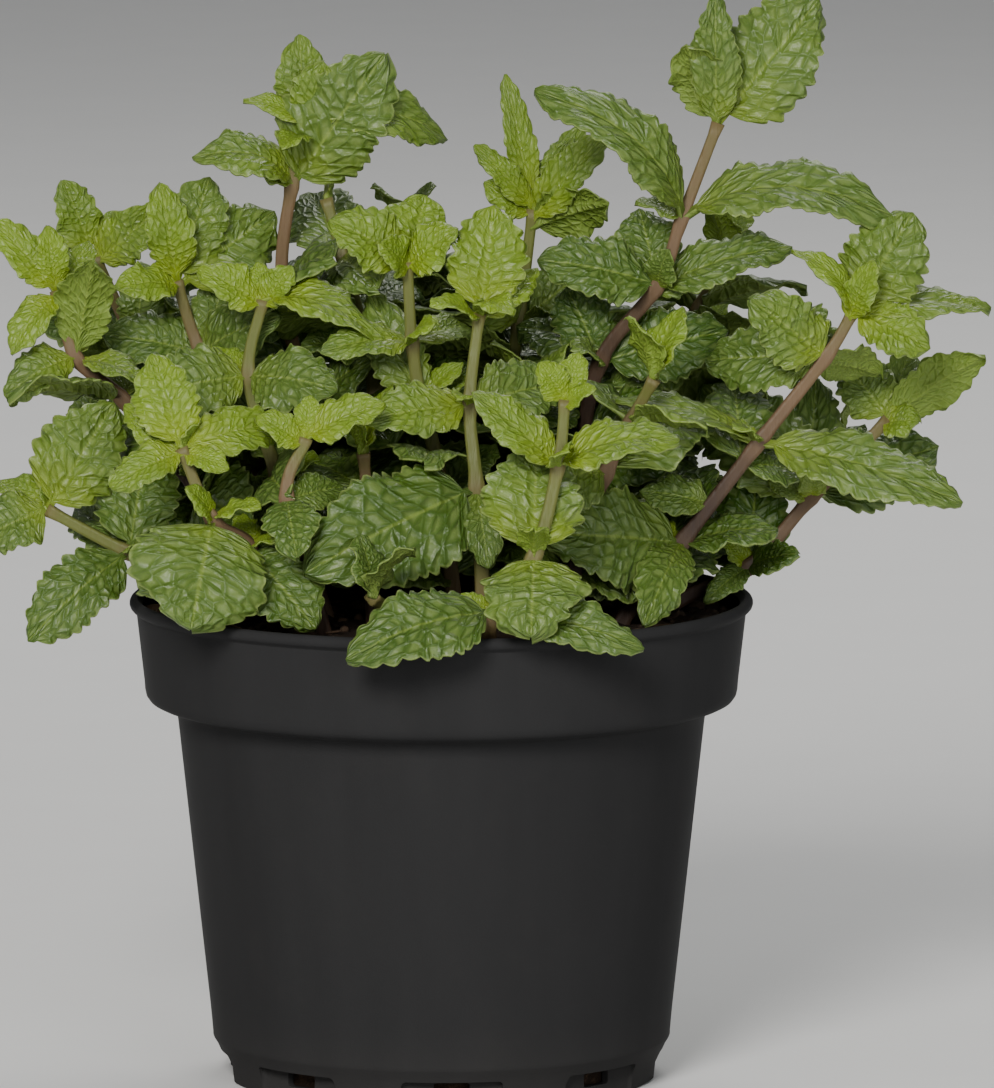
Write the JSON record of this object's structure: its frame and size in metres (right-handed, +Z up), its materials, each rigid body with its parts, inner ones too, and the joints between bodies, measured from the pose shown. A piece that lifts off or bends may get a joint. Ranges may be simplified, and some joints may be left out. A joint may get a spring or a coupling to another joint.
{
  "type": "potted mint plant",
  "caption": "Bushy mint plant with many leafy square stems growing from dark soil in a round black plastic nursery pot.",
  "frame": {"origin": "middle of the flat underside of the pot, on the surface that it stands on", "axes": "+Z up along the pot's axis; the side that the picture shows faces -Y, with +X to its right"},
  "size_m": [0.2103, 0.1783, 0.2271],
  "materials": {
    "pot_plastic": "satin black moulded polypropylene, faintly grained",
    "potting_soil": "dark crumbly peat compost, rough and matt",
    "mint": "fresh mint leaves, quilted and softly glossy, on olive to purple-brown square stems"
  },
  "bodies": {
    "root": {"pot": "pot_plastic", "potting_soil": "potting_soil", "leafy_stem_tall_right": "mint", "leafy_stem_tall_left": "mint", "leafy_stem_far_left": "mint", "leafy_stem_far_left_back": "mint", "leafy_stem_left_middle": "mint", "leafy_stem_left_inner": "mint", "leafy_stem_front_slender": "mint", "leafy_stem_front_tall": "mint", "leafy_stem_front_left_short": "mint", "leafy_stem_left_front": "mint", "leafy_stem_left_low": "mint", "leafy_stem_front_centre": "mint", "leafy_stem_top_centre": "mint", "leafy_stem_right": "mint", "leafy_stem_right_low": "mint", "leafy_stem_inner_front": "mint", "leafy_stem_inner_left": "mint", "leafy_stem_inner_middle": "mint", "leafy_stem_middle_left": "mint", "leafy_stem_middle_right": "mint", "leafy_stem_middle_back": "mint", "leafy_stem_middle_front": "mint", "leafy_stem_back_left": "mint", "leafy_stem_back_centre": "mint", "leafy_stem_back_right": "mint", "leafy_stem_side_left": "mint", "leafy_stem_side_right": "mint", "leafy_stem_back_low_left": "mint", "leafy_stem_back_low_right": "mint"}
  },
  "joints": []
}
